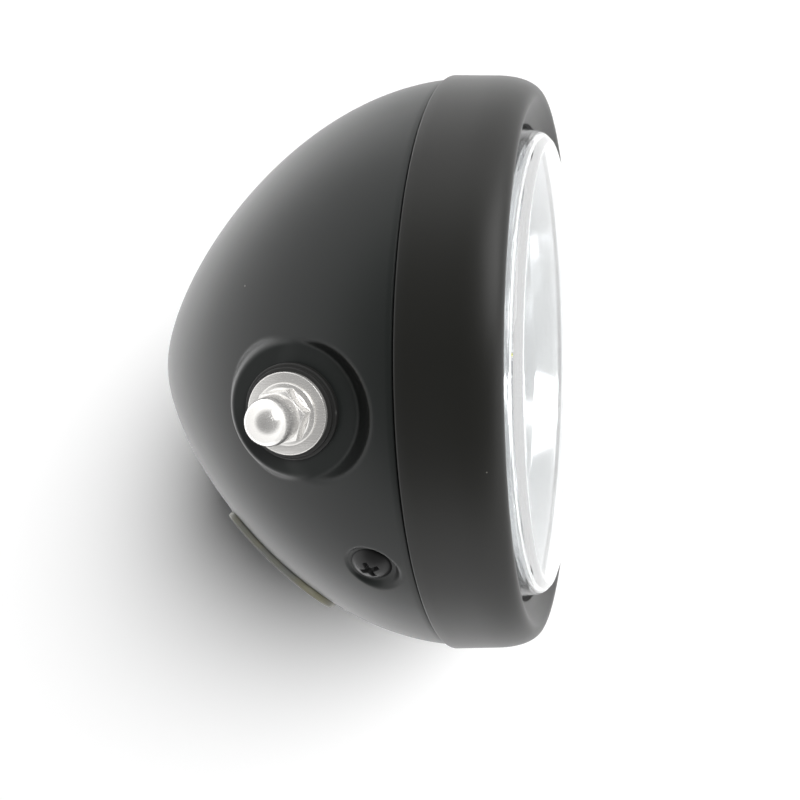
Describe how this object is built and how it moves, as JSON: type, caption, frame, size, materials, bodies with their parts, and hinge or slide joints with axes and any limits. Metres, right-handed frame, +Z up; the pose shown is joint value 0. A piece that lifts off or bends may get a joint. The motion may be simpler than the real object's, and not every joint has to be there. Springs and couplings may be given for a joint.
{
  "type": "motorbike headlight",
  "caption": "Round LED headlight with a deep black steel bucket, a trim ring, a domed clear lens and a domed bolt with washer and rubber bush on each side.",
  "frame": {"origin": "middle of the side-bolt axis, on the lamp's own axis", "axes": "+X along the side-bolt axis to the side that the picture hides, -Y towards the lens, +Z up; the pictured side is -X"},
  "size_m": [0.218, 0.1575, 0.1918],
  "materials": {
    "satin_black_paint": "satin black powder coat",
    "satin_black_rim": "satin black powder coat",
    "clear_yellow_trim": "translucent yellowed soft plastic",
    "zinc_steel": "zinc plated steel",
    "black_screw": "black oxide",
    "polished_steel": "polished stainless steel",
    "black_rubber": "smooth moulded rubber",
    "clear_lens": "clear hard-coated lens",
    "bright_reflector": "vacuum-metallised",
    "cast_aluminium": "as cast",
    "white_board": "white solder mask",
    "green_board": "green solder mask",
    "yellow_led": "phosphor under clear silicone",
    "black_plastic": "fine grain",
    "brass_blades": "plain"
  },
  "bodies": {
    "root": {"bucket_shell": "satin_black_paint", "slot_trim": "clear_yellow_trim", "trim_ring": "satin_black_rim", "rim_lugs": "zinc_steel", "lug_nuts": "zinc_steel", "rim_screws": "black_screw", "side_bolts": "polished_steel", "side_washers": "polished_steel", "side_bushes": "black_rubber", "side_weld_nuts": "zinc_steel", "lens": "clear_lens", "lens_seal": "black_rubber", "reflector": "bright_reflector", "unit_gasket": "black_rubber", "retaining_ring": "zinc_steel", "retaining_clips": "zinc_steel", "led_post": "cast_aluminium", "led_board_upper": "white_board", "led_board_lower": "white_board", "led_chips": "yellow_led", "glare_cap": "bright_reflector", "heat_sink": "cast_aluminium", "neck_gasket": "black_rubber", "heat_sink_screws": "zinc_steel", "driver_board": "green_board", "driver_cover": "black_plastic", "cover_screws": "zinc_steel", "inlet_socket": "black_plastic", "inlet_blades": "brass_blades", "vent_plug": "black_plastic"}
  },
  "joints": []
}
